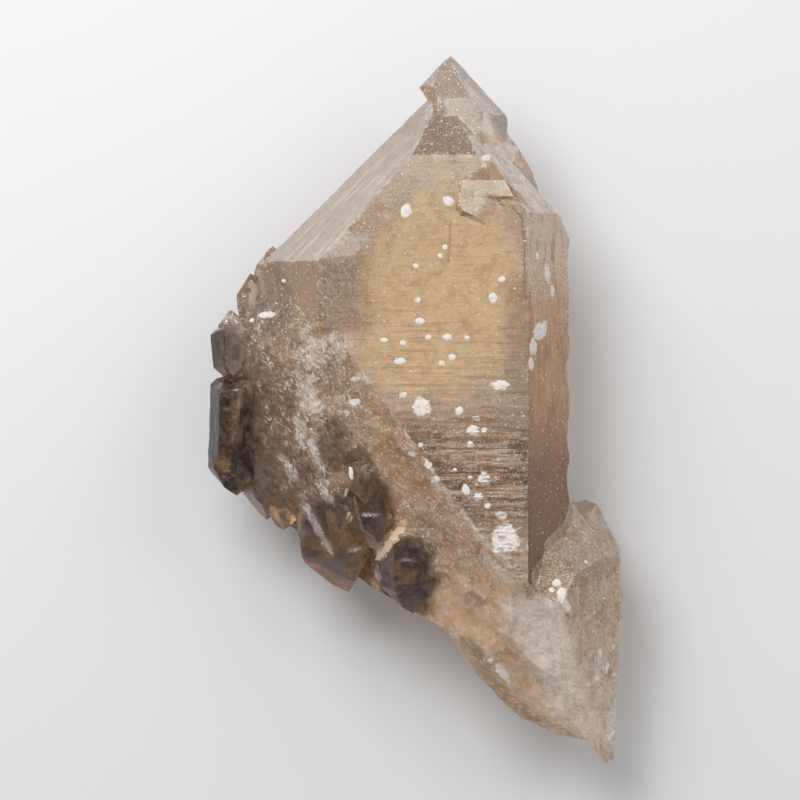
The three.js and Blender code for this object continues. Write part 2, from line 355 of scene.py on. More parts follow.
# White flakes on the surface: photo pixel, width and height, and for some a turn in degrees
FLAKES = [
    ((506, 540), 7.4, 8.6),
    ((422, 407), 4.8, 5.2),
    ((500, 385), 4.8, 2.6),
    ((484, 478), 3.4, 4.0),
    ((502, 515), 3.4, 2.0),
    ((473, 430), 3.0, 2.6),
    ((459, 411), 2.4, 2.2),
    ((484, 430), 1.6, 1.5),
    ((470, 444), 1.8, 1.7),
    ((421, 445), 1.5, 1.4),
    ((412, 454), 2.4, 2.0),
    ((428, 465), 2.3, 2.0),
    ((476, 418), 2.4, 1.3),
    ((403, 395), 2.0, 1.6),
    ((354, 402), 3.8, 1.7),
    ((356, 379), 2.5, 1.4),
    ((420, 321), 2.4, 1.7),
    ((502, 279), 2.1, 1.7),
    ((493, 298), 2.2, 3.0),
    ((447, 337), 2.4, 1.6),
    ((428, 337), 1.7, 1.3),
    ((467, 338), 1.7, 1.3),
    ((384, 340), 2.4, 1.2),
    ((403, 343), 1.9, 1.3),
    ((400, 361), 3.4, 1.7),
    ((452, 357), 2.0, 1.8),
    ((442, 363), 1.7, 1.3),
    ((445, 247), 1.7, 1.5),
    ((440, 256), 1.4, 1.3),
    ((416, 266), 1.4, 1.3),
    ((418, 300), 1.6, 1.3),
    ((406, 211), 3.0, 3.4),
    ((448, 201), 3.2, 2.4),
    ((486, 158), 2.4, 1.8),
    ((435, 480), 2.5, 2.0),
    ((466, 490), 2.2, 3.0, 20),
    ((478, 497), 2.6, 2.0),
    ((488, 506), 2.0, 1.6),
    ((470, 478), 1.4, 1.2),
    ((455, 470), 1.2, 1.0),
    ((540, 331), 3.4, 5.6, -25),
    ((533, 347), 2.0, 4.4),
    ((531, 364), 1.5, 4.2),
    ((547, 273), 1.5, 5.4, 8),
    ((552, 292), 1.0, 3.2),
    ((537, 256), 1.0, 2.2),
    ((557, 583), 2.4, 2.2),
    ((562, 594), 3.0, 3.4),
    ((566, 606), 2.2, 4.2, 25),
    ((552, 590), 1.5, 1.3),
    ((503, 673), 2.2, 6.2, 38),
    ((490, 661), 1.8, 1.4),
    ((611, 736), 1.2, 4.0, -35),
    ((600, 654), 0.9, 2.6),
    ((607, 668), 0.9, 3.2, -10),
    ((597, 679), 1.4, 1.4),
    ((613, 647), 0.8, 2.2),
    ((588, 685), 1.6, 1.1),
    ((595, 613), 0.8, 0.8),
    ((604, 598), 0.8, 0.8),
    ((586, 562), 0.8, 0.9),
    ((351, 473), 1.2, 3.6, 10),
    ((267, 315), 5.4, 1.7, 8),
    ((284, 281), 1.3, 1.0),
    ((252, 320), 1.4, 1.1),
]

# Smoky places: photo pixel, width and height, strength
SMOKY = [
    ((222, 352), 13, 14, 1.05),
    ((208, 428), 9, 38, 1.4),
    ((232, 430), 16, 34, 1.2),
    ((258, 435), 24, 42, 0.76),
    ((262, 300), 14, 20, 0.42),
    ((246, 485), 16, 16, 1.0),
    ((224, 473), 13, 14, 1.35),
    ((268, 515), 12, 14, 0.95),
    ((282, 522), 9, 10, 0.9),
    ((283, 510), 9, 14, 0.85),
    ((334, 445), 9, 14, 0.8),
    ((300, 485), 12, 13, 0.75),
    ((338, 545), 22, 28, 0.95),
    ((368, 507), 13, 18, 1.0),
    ((405, 577), 15, 21, 1.08),
    ((357, 462), 8, 8, 0.85),
]

# Cloudy veils: photo pixel, width and height, turn in degrees
VEILS = [
    ((312, 350), 9, 12, 20),
    ((309, 398), 6, 15, 15),
    ((300, 432), 4, 10, 10),
    ((314, 452), 3, 11, 25),
    ((325, 490), 3, 8, 30),
    ((288, 466), 3, 10, 35),
    ((338, 348), 7, 9, 0),
    ((600, 668), 4, 10, -8),
    ((614, 715), 3, 12, -14),
    ((316, 525), 2.5, 19, 28),
    ((371, 515), 6.5, 1.1, 0),
    ((357, 549), 5, 1.6, 12),
    ((408, 560), 4.5, 1.2, -8),
]

# Pale crust in the gap between two smoky crystals, and spots of it
CRUST_LINE = [(404, 522), (397, 533), (388, 545), (379, 558)]
CRUSTS = [
    ((349, 517), 1.7, 3.2),
    ((535, 338), 1.4, 1.2),
]

# The brown outline of the growth layer and a short step to the left of it, as lines through photo pixels
LAYER_EDGE = [(489, 197), (498, 197), (503, 205), (512, 206), (522, 218), (524, 240), (526, 300)]
SHORT_STEP = [(450, 222), (450, 238), (449, 262)]

# The front face's upper left edge, and its whitish lower edge along the break
FRONT_EDGE = [(412, 157), (318, 262), (318, 300)]
BREAK_LINE = [(430, 472), (440, 487), (460, 510), (475, 530), (490, 560), (525, 600)]

# Where the side crystal begins, the dark seam above it, and the middle of the frosted patch on it
SIDE_EDGE = [(572, 500), (548, 540), (535, 556), (521, 588), (514, 600), (506, 638), (527, 655), (538, 671)]
SIDE_EDGE += [(556, 716), (580, 740), (602, 770)]
SIDE_SEAM = [(528, 515), (527, 560), (523, 590)]
FROST_LINE = [(531, 607), (554, 665), (581, 738)]

# A milky seam along the break, and the lower edge of the foot
SEAM = [(316, 322), (350, 375), (395, 425), (435, 478)]
FOOT_EDGE = [(466, 650), (490, 690), (528, 724), (572, 744)]

# Large soft areas: photo pixel, width and height, and for one a turn in degrees
CLOUDY_AREA = ((306, 410), 24, 46, 18)
GOLDEN_AREA = ((425, 290), 40.8, 55.2)
GOLDEN_RIGHT = ((480, 290), 24.0, 52.8)
BROW = ((552, 574), 11, 12)

# Limits of the faces, as photo rows and columns
FRONT_END_ROW = 610
LAYER_COLUMNS = (446, 528)
LAYER_ROWS = (176, 228)
RAMP_ROW = 192
FRONT_TIP_ROWS = (105, 162)
LAYER_TIP_ROWS = (150, 186)
LEFT_TIP_ROW = 275
LEFT_TIP_COLUMN = 440
RIGHT_TIP_ROW = 225
LEFT_SIDE_ROW = 350
LEFT_SIDE_COLUMN = 245
RIGHT_SIDE_ROW = 180
WHOLE_SIDE_ROW = 500
SIDE_CRYSTAL_ROW = 498
TOP_ROW = 135
ROUGH_ROW = 300
BY_SIDE_COLUMN = 330
MARGIN_END_ROW = 300

# The edge between the break and the side crystal wavers: pixels to each side, and pixels along it
WAVER = 6
SHORT_WAVER = 7.0
LONG_WAVER = 17.0
EDGE_BLEND = (-5, 5)
SIDE_OVERLAP = 4

# Photo rows or columns between which one look gives way to the next
TERRACE_ROWS = (300, 440)
FOOT_ROWS = (540, 600)
STRIP_COLUMNS = (344, 388)
STRIP_TOP_ROWS = (246, 264)
STRIP_END_ROWS = (325, 345)
MARGIN_TOP_ROWS = (166, 184)
RIGHT_COLUMNS = (496, 514)
RIGHT_TOP_ROWS = (262, 292)
RIGHT_END_ROWS = (385, 415)
CORNER_SLANT = (-114, -104)
CORNER_TOP_ROWS = (228, 240)
CORNER_END_ROWS = (252, 262)
PALE_TOP_ROWS = (170, 215)
STRIPED_ROWS = (400, 455)
STRIPED_END_ROWS = (500, 550)
LINED_ROWS = (290, 350)
GREY_COLUMNS = (286, 302)
RIGHT_PALE_ROWS = (240, 350)
RIGHT_BROWN_ROWS = (390, 480)
FROST_WIDE_ROWS = (620, 660)
FROST_TOP_ROWS = (588, 604)
FROST_FADE_ROWS = (650, 710)
SIDE_PALE_ROWS = (640, 700)
SIDE_TOP_ROWS = (565, 590)
BY_SIDE_ROWS = (320, 360)
HAZE_COLUMNS = (330, 372)

# Distances from the lines between which their looks fade out
MARGIN_WIDTHS = (3.0, 11.0)
CORNER_WIDTHS = (4.6, 6.0)
FROST_WIDTHS = (2.5, 8.5)
FROST_WIDER = 1.5
FOOT_EDGE_WIDTHS = (1.5, 4.5)
SIDE_SEAM_WIDTHS = (0.4, 1.6)
SEAM_WIDTHS = (0.5, 5.0)
RIM_WIDTHS = (0.2, 1.1)
GROOVE_WIDTHS = (0.1, 0.6)
GROOVE_COLOUR_WIDTHS = (0.15, 0.4)
STEP_FAINTER = 0.12
CRUST_HALF_WIDTH = 1.1
WEAR_AND_HIGHLIGHT_WIDTH = 0.9
FLAKE_BLEND = (-0.15, 0.15)
FLAKE_RAGGED = 0.3

# Heights of the relief
LARGE_CHIP = 5.5
LARGE_CHIP_HEIGHT = 0.75
SMALL_CHIP = 2.4
SMALL_CHIP_HEIGHT = 0.32
SIDE_CHIP_SHARE = 0.3
SMOOTHER_IN_SMOKE = 0.75
SMOOTHER_AT_FOOT = 0.4
TERRACE_LENGTH = 2.1
TERRACE_WAVER = 0.8
TERRACE_HEIGHT = 0.22
FLAKE_HEIGHT = 0.16
GROOVE_DEPTH = 0.22
LEAST_WEAR = 0.06
MORE_WEAR = 0.16

source = frame["nodes"]["citrine_crystal"]
mesh = refined(source)
places, corners, normals = read_mesh(mesh)
corner_faces = np.repeat(np.arange(len(normals)), 3)

# Each vertex belongs to the face that looks up the most
order = np.argsort(normals[corner_faces, 2])
vertex_normals = np.zeros_like(places)
vertex_normals[corners[order]] = normals[corner_faces[order]]
pixels = photo_pixels(places)


def facing(directions, toward):
    """One where a face looks the given way, and nought elsewhere."""
    unit = np.array(toward) / np.linalg.norm(toward)
    return (directions @ unit > SAME_WAY).astype(float)


def between(value, limits):
    """True where a value lies between two limits."""
    return (value > limits[0]) & (value < limits[1])


def zones(places, pixels, directions):
    """Named shares, from nought to one, of where each point lies on the crystal."""
    x, y = pixels.T
    height = places[:, 2]
    edge_x, edge_y = np.array(SIDE_EDGE).T
    waver = WAVER * np.sin(y / SHORT_WAVER) * np.sin(y / LONG_WAVER + 1)
    past_edge = x - np.interp(y, edge_y, edge_x) + waver
    front = facing(directions, FRONT) * (height > FRONT_HEIGHT - FRONT_DEPTH) * (y < FRONT_END_ROW)
    by_layer = between(x, LAYER_COLUMNS) & between(y, LAYER_ROWS) & (height > LAYER_FLOOR)
    front = np.maximum(front, by_layer & (y > RAMP_ROW) & (directions[:, 2] > RAMP_LIMIT))
    beside = (past_edge < SIDE_OVERLAP) | (y < WHOLE_SIDE_ROW)
    grown = {
        "front": front,
        "front_tip": facing(directions, FRONT_TIP) * between(y, FRONT_TIP_ROWS),
        "left_tip": facing(directions, LEFT_TIP) * (y < LEFT_TIP_ROW) * (x < LEFT_TIP_COLUMN),
        "right_tip": facing(directions, RIGHT_TIP) * (y < RIGHT_TIP_ROW),
        "left_side": facing(directions, LEFT_SIDE) * (y < LEFT_SIDE_ROW) * (x > LEFT_SIDE_COLUMN),
        "right_side": facing(directions, RIGHT_SIDE) * (y > RIGHT_SIDE_ROW) * beside,
        "layer_tip": facing(directions, LAYER_TIP) * between(y, LAYER_TIP_ROWS),
    }
    on_grown = np.max(list(grown.values()), axis=0)
    side_crystal = smooth(past_edge, *EDGE_BLEND) * (y > SIDE_CRYSTAL_ROW)
    side_crystal *= (1 - grown["right_side"]) * (1 - front)
    return {
        **grown,
        "top": (y < TOP_ROW).astype(float),
        "side_crystal": side_crystal,
        "layer_walls": by_layer * (1 - on_grown),
        "rough": (1 - on_grown) * (y > ROUGH_ROW) * (1 - side_crystal),
    }


# Worn edges, pale with wear and with a painted highlight: how near each vertex is to a sharp edge
sharp_flags = np.zeros(len(mesh.edges), bool)
mesh.edges.foreach_get("use_edge_sharp", sharp_flags)
edge_ends = np.zeros(len(mesh.edges) * 2, int)
mesh.edges.foreach_get("vertices", edge_ends)
sharp_vertices = np.unique(edge_ends.reshape(-1, 2)[sharp_flags])
sharp_places = kdtree.KDTree(len(sharp_vertices))
for number in sharp_vertices:
    sharp_places.insert(Vector(places[number]), int(number))
sharp_places.balance()
edge_distance = np.array([sharp_places.find(Vector(p))[2] for p in places])

at_vertex = zones(places, pixels, vertex_normals)
coarse = wave(places, COARSE_LUMP)
middle = wave(places, MIDDLE_LUMP, salt=7.3)
fine = wave(places, FINE_LUMP, salt=3.1, octaves=2)


def scatter(coarse_by=0.0, middle_by=0.0, fine_by=0.0):
    """Lumps of three sizes together, each by its own amount."""
    return coarse_by * coarse + middle_by * middle + fine_by * fine


def flake_field(spots):
    """How far inside a spot each vertex is: above nought inside, falling below it outside."""
    field = np.full(len(pixels), -1.0)
    for sizes in spots:
        field = np.maximum(field, 1 - spot(pixels, *sizes))
    return np.clip(field + scatter(fine_by=FLAKE_RAGGED), -1, 1)


def soft_spot(at_pixels, area, reach, ragged, low, high):
    """One in the middle of an area, falling to nought round it with a ragged edge."""
    return smooth(reach - spot(at_pixels, *area) + ragged, low, high)


looks_up = vertex_normals[:, 2] > UP_LIMIT
flakes = np.where(looks_up, flake_field(FLAKES), -1)
in_gap = 1 - from_line(pixels, CRUST_LINE) / CRUST_HALF_WIDTH + scatter(middle_by=0.45, fine_by=0.5)
crusts = np.maximum(flake_field(CRUSTS), np.clip(in_gap, -1, 1))
crusts = np.where(looks_up, crusts, -1)
groove = np.minimum(from_line(pixels, LAYER_EDGE), STEP_FAINTER + from_line(pixels, SHORT_STEP))
smoke = np.zeros(len(places))
for *area, strength in SMOKY:
    share = soft_spot(pixels, area, reach=1.35, ragged=scatter(coarse_by=0.3), low=0.1, high=0.6)
    smoke = np.maximum(smoke, strength * share)
smoke *= 1 + scatter(middle_by=0.22, fine_by=0.15)
veil = np.zeros(len(places))
for area in VEILS:
    share = soft_spot(pixels, area, reach=1.3, ragged=scatter(middle_by=0.5), low=0.2, high=0.9)
    veil = np.maximum(veil, share)
cloudy = soft_spot(pixels, CLOUDY_AREA, reach=1.5, ragged=scatter(coarse_by=0.4), low=0.1, high=0.9)
cloud_haze = cloudy * (LEAST_CLOUD_HAZE + MORE_CLOUD_HAZE * smooth(coarse, -0.2, 0.5))
cracks = 1 - np.abs(scatter(middle_by=1.0, coarse_by=0.5)) * CRACK_SHARPNESS
# Tilted chips, for painted glints on one side and painted shade on the other inside the smoky crystals
lit_facets = facets(places, GLINT_FACET, salt=2.2)

# Shape: rough break, worn edges, low terraces, flakes and the groove round the growth layer
rows = pixels[:, 1]
rough = at_vertex["rough"] * (1 - SMOOTHER_IN_SMOKE * smooth(smoke, 0.5, 0.9))
broken = LARGE_CHIP_HEIGHT * facets(places, LARGE_CHIP)
broken += SMALL_CHIP_HEIGHT * facets(places, SMALL_CHIP, salt=4.4)
lift = rough * (scatter(0.25, 0.16, 0.12) + broken)
lift *= 1 - SMOOTHER_AT_FOOT * smooth(rows, *FOOT_ROWS)
lift += at_vertex["side_crystal"] * (scatter(0.0, 0.10, 0.08) + SIDE_CHIP_SHARE * broken)
lift += at_vertex["right_side"] * scatter(0.0, 0.05, 0.04)
terrace = (rows * PIXEL + TERRACE_WAVER * wave(places, TERRACE_LUMP, salt=5.5)) / TERRACE_LENGTH
low_front = at_vertex["front"] * smooth(rows, *TERRACE_ROWS) * (1 - smooth(flakes, *FLAKE_BLEND))
lift += low_front * TERRACE_HEIGHT * (np.mod(terrace, 1) - 0.5)
lift += FLAKE_HEIGHT * smooth(flakes, 0.0, 0.4) * (places[:, 2] < ON_LAYER)
lift -= GROOVE_DEPTH * (1 - smooth(groove, *GROOVE_WIDTHS)) * at_vertex["front"]
# Near sharp edges: worn down in shape, and painted pale further on as wear and painted highlight
edge_wear_and_highlight = 1 - smooth(edge_distance, 0.0, WEAR_AND_HIGHLIGHT_WIDTH)
lift -= edge_wear_and_highlight * (LEAST_WEAR + MORE_WEAR * smooth(middle, -0.2, 0.9))
lift *= places[:, 2] > LOWEST_RELIEF
outward = np.zeros(len(places) * 3)
mesh.vertices.foreach_get("normal", outward)
shaped = places + lift[:, None] * outward.reshape(-1, 3)
shaped[:, 2] = np.maximum(shaped[:, 2], 0)
mesh.vertices.foreach_set("co", (shaped * METRES).ravel())
mesh.update()
work = bmesh.new()
work.from_mesh(mesh)
for edge in work.edges:
    edge.smooth = edge.smooth and edge.calc_face_angle(0) < math.radians(RAGGED_CREASE_DEGREES)
work.to_mesh(mesh)
work.free()

# Colour, clearness, roughness and grain at every corner. From here on, the scatter is read at the corners.
zone = zones(places[corners], pixels[corners], normals[corner_faces])
corner_pixels = pixels[corners]
x, y = corner_pixels.T
height = places[corners, 2]
coarse, middle, fine = coarse[corners], middle[corners], fine[corners]
smoky = smoke[corners]
tint = np.tile(np.array(STONE), (len(corners), 1))
clear = np.full(len(corners), FIRST_CLEAR)
gloss = np.full(len(corners), FIRST_GLOSS)
grain = np.full(len(corners), FIRST_GRAIN)


def paint(share, colour, clear_to=None, rough_to=None, grain_to=None, strength=1.0):
    """Bring the corners' colour, and the other values that are given, towards new ones by a share."""
    share = np.clip(share * strength, 0, 1)
    tint[:] = tint + share[:, None] * (np.array(colour) - tint)
    for values, goal in ((clear, clear_to), (gloss, rough_to), (grain, grain_to)):
        if goal is not None:
            values[:] = values + share * (goal - values)


def row(coarse_by=0.0, middle_by=0.0):
    """Each corner's photo row, moved by so many pixels of scatter to make an edge ragged."""
    return y + scatter(coarse_by, middle_by)


def column(coarse_by=0.0, middle_by=0.0):
    """Each corner's photo column, moved by so many pixels of scatter to make an edge ragged."""
    return x + scatter(coarse_by, middle_by)


def before(value, limits):
    """One before the first of two limits, nought past the second, and a smooth fall between."""
    return 1 - smooth(value, *limits)


def near(line, limits, ragged=0.0):
    """One at a line, falling to nought between two distances from it."""
    return before(from_line(pixels, line)[corners] + ragged, limits)


mottle = scatter(coarse_by=0.6, middle_by=1.0)
bare = before(flakes[corners], FLAKE_BLEND)

# The front face: grey gold with a golden middle, darker margins and a striped lower part
front = zone["front"]
paint(front, GREY_GOLD, clear_to=0.68, rough_to=0.36, grain_to=0.5)
golden = soft_spot(corner_pixels, GOLDEN_AREA, reach=1.45, ragged=scatter(coarse_by=0.25), low=0.2, high=0.75)
golden_right = soft_spot(corner_pixels, GOLDEN_RIGHT, reach=1.3, ragged=0.0, low=0.1, high=0.8)
paint(front * np.maximum(golden, golden_right), GOLD, clear_to=0.58, rough_to=0.32, grain_to=0.3)
margin = near(FRONT_EDGE, MARGIN_WIDTHS, scatter(coarse_by=2.5, middle_by=1.2)) * (y < MARGIN_END_ROW)
margin = np.maximum(margin, TOP_MARGIN * before(row(coarse_by=5), MARGIN_TOP_ROWS))
paint(front * margin, MARGIN, clear_to=0.70, rough_to=0.3, grain_to=0.55, strength=0.75)
strip = before(column(coarse_by=-10, middle_by=-7), STRIP_COLUMNS)
strip *= smooth(row(middle_by=4), *STRIP_TOP_ROWS) * before(row(coarse_by=8), STRIP_END_ROWS)
by_right = smooth(column(coarse_by=9), *RIGHT_COLUMNS)
by_right *= smooth(y, *RIGHT_TOP_ROWS) * before(y, RIGHT_END_ROWS)
strip = np.maximum(strip, RIGHT_STRIP * by_right)
paint(front * strip, STRIP, clear_to=0.74, rough_to=0.28, grain_to=0.4, strength=0.8)
paint(front * (height > ON_LAYER), LAYER, clear_to=0.55, rough_to=0.3, grain_to=0.5, strength=0.9)
upper_left = smooth(x - y, *CORNER_SLANT) * near(FRONT_EDGE, CORNER_WIDTHS)
upper_left *= smooth(row(middle_by=3), *CORNER_TOP_ROWS) * before(y, CORNER_END_ROWS)
paint(front * upper_left, CLOUD, clear_to=0.4, rough_to=0.35, grain_to=0.3, strength=0.6)
paint(front * smooth(mottle, 0.1, 0.8), WARM_PALE, strength=0.3)
paint(front * smooth(-mottle, 0.1, 0.8), BROWN_GOLD, clear_to=0.75, strength=0.35)
paint(front * before(row(coarse_by=8), PALE_TOP_ROWS), LAYER, clear_to=0.6, strength=0.4)
low = smooth(row(coarse_by=14), *STRIPED_ROWS) * before(y, STRIPED_END_ROWS)
stripe = wave(places, STRIPE, salt=1.7, stretch=STRIPE_STRETCH)[corners]
paint(front * low, PURPLE_BROWN, clear_to=0.85, rough_to=0.22, grain_to=0.5, strength=0.85)
paint(front * low * smooth(stripe, 0.05, 0.5), LILAC, clear_to=0.5, rough_to=0.3)
bands = front * bare * (LEAST_BANDS + MORE_BANDS * smooth(y, *LINED_ROWS) + STRIPED_BANDS * low)

# The growth layer's tip facet, brown with painted shade for its tilt, the layer's edges, the tip and the left
# prism face
# The tip facet's brown is partly painted shade for its tilt
paint(zone["layer_tip"], SHADED_TIP_BROWN, clear_to=0.8, rough_to=0.2, grain_to=0.15)
paint(zone["layer_walls"], STEP, clear_to=0.85, rough_to=0.2, grain_to=0.3)
paint(zone["front_tip"], SPECKLED, clear_to=0.75, rough_to=0.34, grain_to=0.75)
left_streaks = streaks(places, turn=46, length=16.0, width=0.8)[corners]
paint(zone["left_tip"], PALE, clear_to=0.68, rough_to=0.3, grain_to=0.25)
paint(zone["left_tip"] * smooth(left_streaks, 0.1, 0.6), CLOUD, clear_to=0.4, strength=0.5)
paint(zone["right_tip"], PALE, clear_to=0.5, rough_to=0.34, grain_to=0.6)
paint(zone["right_tip"] * smooth(-mottle, 0.05, 0.7), GREY_BROWN, clear_to=0.75, strength=0.6)
paint(zone["right_tip"] * smooth(mottle, 0.3, 0.8), CLOUD, clear_to=0.3, strength=0.5)
paint(zone["top"] * (1 - zone["front_tip"]), GREY_PALE, clear_to=0.78, rough_to=0.16, grain_to=0.4)
outer_left = before(column(middle_by=8), GREY_COLUMNS)
paint(zone["left_side"], OLIVE, clear_to=0.85, rough_to=0.2, grain_to=0.4)
paint(zone["left_side"] * outer_left, GREY_BROWN, clear_to=0.8, rough_to=0.2, strength=0.8)

# The right prism face: pale above, golden in the middle and brown below
on_right = zone["right_side"]
upper_right = before(row(coarse_by=15), RIGHT_PALE_ROWS)
lower_right = smooth(row(coarse_by=10), *RIGHT_BROWN_ROWS)
right_lines = streaks(places, turn=90, length=9.0, width=0.8, salt=2.0)[corners]
paint(on_right, RIGHT_GOLD, clear_to=0.85, rough_to=0.2, grain_to=0.35)
paint(on_right * upper_right, WARM_PALE, clear_to=0.45, rough_to=0.3, grain_to=0.8, strength=0.85)
paint(on_right * smooth(right_lines, 0.15, 0.6), WARM_PALE, clear_to=0.6, strength=0.4)
paint(on_right * smooth(-right_lines, 0.15, 0.6), WARM_BROWN, clear_to=0.9, strength=0.45)
paint(on_right * lower_right, WARM_BROWN, clear_to=0.9, strength=0.92)

# The break, the foot and the side crystal, with painted highlight and painted shade on the chips, fibres and
# a frosted patch
on_break = zone["rough"]
on_side = zone["side_crystal"]
paint(on_break * smooth(coarse, 0.1, 0.7), GOLD, strength=0.5)
paint(on_break * smooth(-coarse, 0.2, 0.8), BROWN_GOLD, clear_to=0.9, rough_to=0.12, strength=0.4)
paint(on_break * smooth(row(coarse_by=10), *FOOT_ROWS), FOOT_STONE, clear_to=0.6, grain_to=0.2)
paint(on_side, BEIGE, clear_to=0.70, rough_to=0.3, grain_to=0.9)
paint(on_side * smooth(row(coarse_by=12), *SIDE_PALE_ROWS), WARM_PALE, clear_to=0.5, strength=0.5)
chip_light_and_shade = broken[corners]
for share in (on_break, on_side):
    # Painted highlight on the raised side of each chip and painted shade on its sunk side
    paint(share * smooth(chip_light_and_shade, 0.03, 0.25), WARM_PALE, clear_to=0.6, strength=0.5)
    paint(share * smooth(-chip_light_and_shade, 0.03, 0.25), STRIP, clear_to=0.9, strength=0.5)
paint(on_side * smooth(mottle, 0.3, 0.9), CLOUD, clear_to=0.4, strength=0.5)
side_fibres = streaks(places, turn=96, length=7.0, width=0.7, salt=4.0)[corners]
paint(on_side * smooth(side_fibres, 0.15, 0.6), WARM_PALE, clear_to=0.4, strength=0.55)
paint(on_side * smooth(-side_fibres, 0.15, 0.6), STRIP, clear_to=0.85, strength=0.5)
frost_edge = scatter(coarse_by=2.2, middle_by=1.0) - FROST_WIDER * before(y, FROST_WIDE_ROWS)
frosted = near(FROST_LINE, FROST_WIDTHS, frost_edge) * smooth(row(middle_by=6), *FROST_TOP_ROWS)
frosted *= (1 - front) * (1 - on_right) * (1 - FROST_FADE * smooth(y, *FROST_FADE_ROWS))
paint(frosted, FROST, clear_to=0.2, rough_to=0.42, grain_to=0.35, strength=0.78)
by_edge = near(FOOT_EDGE, FOOT_EDGE_WIDTHS, scatter(middle_by=1.2))
paint(by_edge * on_break, EDGE_OLIVE, clear_to=0.88, rough_to=0.14, strength=0.7)
paint(near(SIDE_SEAM, SIDE_SEAM_WIDTHS) * on_right, WARM_BROWN, clear_to=0.9)
side_top = before(row(coarse_by=8), SIDE_TOP_ROWS)
paint(on_side * side_top, SPECKLED, clear_to=0.8, rough_to=0.25, strength=0.5)
brow = soft_spot(corner_pixels, BROW, reach=1.3, ragged=scatter(middle_by=0.3), low=0.1, high=0.5)
paint(on_side * brow, BROWN_GOLD, clear_to=0.85, rough_to=0.2, strength=0.8)
by_side = on_break * before(row(coarse_by=10), BY_SIDE_ROWS) * (x < BY_SIDE_COLUMN)
paint(by_side, OLIVE, clear_to=0.85, rough_to=0.2, grain_to=0.9)
paint(by_side * outer_left, GREY_BROWN, clear_to=0.8, rough_to=0.2, strength=0.8)
paint(on_break * smooth(cracks[corners], 0.45, 0.95), CLOUD, clear_to=0.4, rough_to=0.3, strength=0.45)

# The smoky crystals with painted glints and painted shade on their chips, the clouds and veils, the pale
# edges that are worn and partly painted highlight, and the underside
facet_light_and_shade = lit_facets[corners]
paint(smoky, SMOKE, clear_to=0.88, rough_to=0.1, grain_to=0.15)
# Painted glints and painted shade on the tilted chips, for light caught inside the smoky crystals
paint(smoky * smooth(facet_light_and_shade, 0.06, 0.22), GLINT, clear_to=0.9, strength=0.6)
paint(smoky * smooth(-facet_light_and_shade, 0.06, 0.22), DEEP_SMOKE_AND_SHADE, strength=0.5)
paint(smooth(smoky, 1.0, 1.3), DEEP_SMOKE_AND_SHADE)
paint(cloudy[corners] * smooth(coarse, -0.3, 0.4), DUSK, clear_to=0.92, rough_to=0.15, strength=0.7)
paint(veil[corners], CLOUD, clear_to=0.4, rough_to=0.35, grain_to=0.8, strength=0.55)
along_rim = near(BREAK_LINE, RIM_WIDTHS, scatter(fine_by=0.5)) * (height > BREAK_HEIGHT)
paint(along_rim * smooth(middle, -0.5, 0.3), FLAKE, clear_to=0.3, strength=0.55)
paint(before(groove[corners], GROOVE_COLOUR_WIDTHS) * front, STEP, clear_to=0.8)
# Paler along sharp edges: wear, and a painted highlight on the edges
paint(edge_wear_and_highlight[corners] * smooth(middle, -0.2, 0.6) * (1 - smoky), PALE, clear_to=0.3, strength=0.35)
grain *= bare
under = normals[corner_faces, 2] < UP_LIMIT
paint(under * (1 - SMOKE_UNDER * smoky), UNDER, clear_to=0.95, rough_to=0.2, grain_to=0.2)

haze = np.maximum(cloud_haze, VEIL_HAZE * veil)[corners]
haze = np.maximum(haze, on_break * (LEAST_HAZE + MORE_HAZE * smooth(scatter(0.5, 1.0), 0.1, 0.7)))
haze = np.maximum(haze, on_side * SIDE_HAZE)
along_seam = near(SEAM, SEAM_WIDTHS) * (height > BREAK_HEIGHT) * smooth(middle, -0.4, 0.5)
haze = np.maximum(haze, along_seam * SEAM_HAZE)
haze = np.maximum(haze, front * before(column(coarse_by=12), HAZE_COLUMNS) * FRONT_HAZE)
haze *= 1 - CLEARER_IN_SMOKE * smooth(smoky, 0.7, 1.0)

# Thin broken pale lines along sharp edges: wear, and painted highlights
whole = np.maximum(1 - on_break, smooth(smoky, 0.6, 0.9)) * (1 - front * low)
edges = (1 - edge_distance[corners] / WEAR_AND_HIGHLIGHT_WIDTH) * whole
edges *= (1 - FAINTER_IN_SMOKE * smoky) * smooth(mottle, -0.5, 0.5)

piece = bpy.data.objects.new("citrine", mesh)
bpy.context.scene.collection.objects.link(piece)
colours = np.concatenate([tint, np.ones((len(tint), 1))], 1)
layer = mesh.color_attributes.new("tint", "FLOAT_COLOR", "CORNER")
layer.data.foreach_set("color", colours.astype(np.float32).ravel())
painted = {
    "clear": clear,
    "gloss": gloss,
    "grain": grain,
    "bands": bands,
    "flakes": flakes[corners],
    "crusts": crusts[corners],
    "haze": haze,
    "edges": edges,
}
for name, values in painted.items():
    layer = mesh.attributes.new(name, "FLOAT", "CORNER")
    layer.data.foreach_set("value", np.clip(values, -1, 1).astype(np.float32))

# One material: quartz that is clear, frosted or smoky from place to place
material = bpy.data.materials.new("citrine")
material.use_nodes = True
tree = material.node_tree
shader = tree.nodes["Principled BSDF"]
output = tree.nodes["Material Output"]
link = tree.links.new


def node(kind, **settings):
    """A new node with some of its settings."""
    made = tree.nodes.new(kind)
    for name, value in settings.items():
        setattr(made, name, value)
    return made


def value_of(name, output_name="Fac"):
    """What is painted on the mesh under a name."""
    return node("ShaderNodeAttribute", attribute_name=name).outputs[output_name]


def calculate(operation, first, second):
    """A sum or other operation on two values, each a number or another node's result."""
    made = node("ShaderNodeMath", operation=operation)
    for socket, value in zip(made.inputs, (first, second)):
        if isinstance(value, (int, float)):
            socket.default_value = value
        else:
            link(value, socket)
    return made.outputs[0]


def times(first, second):
    """Two values multiplied."""
    return calculate("MULTIPLY", first, second)


